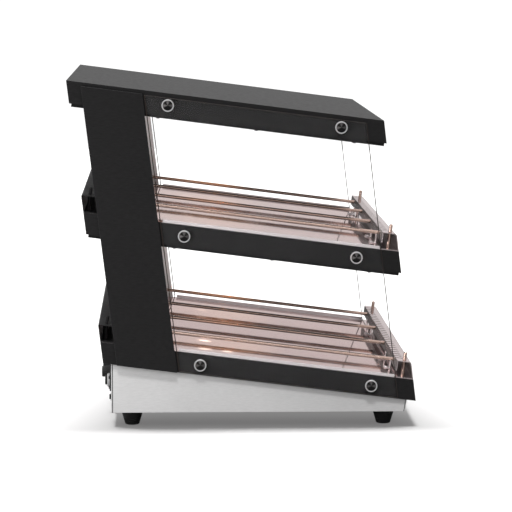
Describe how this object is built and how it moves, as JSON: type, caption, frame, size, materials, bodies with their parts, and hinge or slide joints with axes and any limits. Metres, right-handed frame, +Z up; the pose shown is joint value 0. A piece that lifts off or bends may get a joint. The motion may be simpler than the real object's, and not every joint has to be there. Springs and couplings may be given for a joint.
{
  "type": "food warmer",
  "caption": "Countertop pass-through food warmer with two slanted heated decks, glass ends, lift-out divider rods, lamps and rear heat controls.",
  "frame": {"origin": "on the floor under the middle of the whole body", "axes": "-Y towards the customer side, +X to the right seen from there, +Z up"},
  "size_m": [0.692, 0.6224, 0.6199],
  "materials": {
    "black_coat": "fine matte powder coat",
    "pan_coat": "matte powder coat",
    "polished_steel": "polished stainless steel",
    "trim_steel": "bright stainless steel",
    "rod_steel": "polished round bar",
    "clear_glass": "clear tempered glass",
    "lamp_glass": "warm coated lamp glass",
    "ceramic": "glazed ceramic",
    "heater_silicone": "silicone heater mat",
    "wire_jacket": "silicone wire jacket",
    "rubber": "black rubber",
    "zinc_steel": "zinc-plated steel",
    "bright_ring": "bright turned metal",
    "gloss_black": "satin black plastic",
    "black_screw": "black oxide",
    "base_coat": "silver-grey powder coat",
    "control_coat": "satin black",
    "matte_black": "moulded plastic",
    "shaft_brass": "turned brass"
  },
  "bodies": {
    "cabinet": {"canopy_cover": "black_coat", "middle_deck_frame": "black_coat", "lower_deck_frame": "black_coat", "middle_rear_rail": "black_coat", "lower_rear_rail": "black_coat", "left_post_cover": "black_coat", "right_post_cover": "black_coat", "canopy_lamp_pan": "pan_coat", "middle_lamp_pan": "pan_coat", "middle_tray": "polished_steel", "lower_tray": "polished_steel", "middle_front_rail": "polished_steel", "lower_front_rail": "polished_steel", "post_liners": "polished_steel", "middle_tray_trims": "trim_steel", "lower_tray_trims": "trim_steel", "middle_rail_brackets": "trim_steel", "lower_rail_brackets": "trim_steel", "middle_rail_pins": "rod_steel", "lower_rail_pins": "rod_steel", "left_side_glass": "clear_glass", "right_side_glass": "clear_glass", "lamp_bulbs": "lamp_glass", "lamp_holders": "ceramic", "terminal_block": "ceramic", "middle_heater_mat": "heater_silicone", "lower_heater_mat": "heater_silicone", "post_wires": "wire_jacket", "wire_grommets": "rubber", "glass_gaskets": "rubber", "rubber_feet": "rubber", "glass_studs": "zinc_steel", "stud_nuts": "zinc_steel", "foot_screws": "zinc_steel", "deck_thermostats": "zinc_steel", "button_rings": "bright_ring", "light_button_bezel": "bright_ring", "button_caps": "gloss_black", "pan_screws": "black_screw", "panel_screws": "black_screw", "base_housing": "base_coat", "base_bottom_plate": "base_coat", "control_plate": "control_coat", "switch_housing": "matte_black", "cord_gland": "matte_black"},
    "middle_knob": {"middle_heat_shaft": "shaft_brass", "middle_heat_knob": "matte_black"},
    "lower_knob": {"lower_heat_shaft": "shaft_brass", "lower_heat_knob": "matte_black"},
    "light_button": {"light_button": "gloss_black"},
    "power_rocker": {"power_rocker": "gloss_black"},
    "middle_rod_1": {"middle_rod_1": "rod_steel"},
    "middle_rod_2": {"middle_rod_2": "rod_steel"},
    "middle_rod_3": {"middle_rod_3": "rod_steel"},
    "middle_rod_4": {"middle_rod_4": "rod_steel"},
    "lower_rod_1": {"lower_rod_1": "rod_steel"},
    "lower_rod_2": {"lower_rod_2": "rod_steel"},
    "lower_rod_3": {"lower_rod_3": "rod_steel"},
    "lower_rod_4": {"lower_rod_4": "rod_steel"}
  },
  "joints": [
    {"name": "middle_knob_turn", "type": "hinge", "parent": "cabinet", "child": "middle_knob", "pos_m": [-0.193, 0.24505, 0.0764], "axis": [0, -1, 0], "range_deg": [0, 270]},
    {"name": "lower_knob_turn", "type": "hinge", "parent": "cabinet", "child": "lower_knob", "pos_m": [-0.103, 0.24505, 0.0764], "axis": [0, -1, 0], "range_deg": [0, 270]},
    {"name": "light_button_press", "type": "slide", "parent": "cabinet", "child": "light_button", "axis": [0, -1, 0], "range_m": [0, 0.003], "stiffness_N_per_m": 300},
    {"name": "power_rocker_tilt", "type": "hinge", "parent": "cabinet", "child": "power_rocker", "pos_m": [-0.283, 0.23255, 0.0469], "axis": [0, 0, 1], "range_deg": [0, 16]},
    {"name": "middle_rod_1_lift", "type": "slide", "parent": "cabinet", "child": "middle_rod_1", "axis": [0, -0.1253, 0.9921], "range_m": [0, 0.05]},
    {"name": "middle_rod_2_lift", "type": "slide", "parent": "cabinet", "child": "middle_rod_2", "axis": [0, -0.1253, 0.9921], "range_m": [0, 0.05]},
    {"name": "middle_rod_3_lift", "type": "slide", "parent": "cabinet", "child": "middle_rod_3", "axis": [0, -0.1253, 0.9921], "range_m": [0, 0.05]},
    {"name": "middle_rod_4_lift", "type": "slide", "parent": "cabinet", "child": "middle_rod_4", "axis": [0, -0.1253, 0.9921], "range_m": [0, 0.05]},
    {"name": "lower_rod_1_lift", "type": "slide", "parent": "cabinet", "child": "lower_rod_1", "axis": [0, -0.1253, 0.9921], "range_m": [0, 0.05]},
    {"name": "lower_rod_2_lift", "type": "slide", "parent": "cabinet", "child": "lower_rod_2", "axis": [0, -0.1253, 0.9921], "range_m": [0, 0.05]},
    {"name": "lower_rod_3_lift", "type": "slide", "parent": "cabinet", "child": "lower_rod_3", "axis": [0, -0.1253, 0.9921], "range_m": [0, 0.05]},
    {"name": "lower_rod_4_lift", "type": "slide", "parent": "cabinet", "child": "lower_rod_4", "axis": [0, -0.1253, 0.9921], "range_m": [0, 0.05]}
  ]
}
